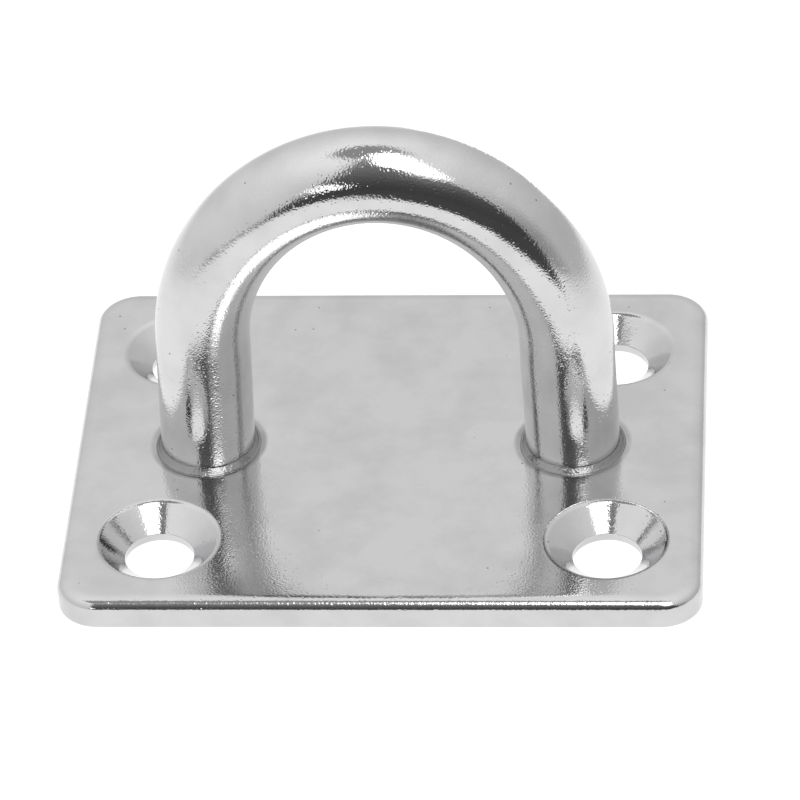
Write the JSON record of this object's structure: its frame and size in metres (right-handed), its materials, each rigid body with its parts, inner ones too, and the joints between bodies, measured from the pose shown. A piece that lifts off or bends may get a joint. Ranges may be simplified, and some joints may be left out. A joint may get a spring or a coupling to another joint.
{
  "type": "pad eye",
  "caption": "Rectangular stainless steel plate with countersunk corner holes and a rod bow welded through it.",
  "frame": {"origin": "centre of the plate's back face, on the surface that it is screwed to", "axes": "+X along the plate's long side, in the plane of the bow; +Y along the plate's short side, through the eye; +Z out of the mounting surface, up through the crown of the bow"},
  "size_m": [0.05, 0.04, 0.0323],
  "materials": {
    "stainless_sheet": "stamped sheet, electropolished: semi-gloss with a fine pebbled grain",
    "stainless_rod": "bent rod, electropolished: bright with a fine orange peel",
    "stainless_weld": "fused and ground weld, electropolished with the rest"
  },
  "bodies": {
    "root": {"base_plate": "stainless_sheet", "eye_bow": "stainless_rod", "top_weld_left": "stainless_weld", "top_weld_right": "stainless_weld", "back_weld_left": "stainless_weld", "back_weld_right": "stainless_weld"}
  },
  "joints": []
}
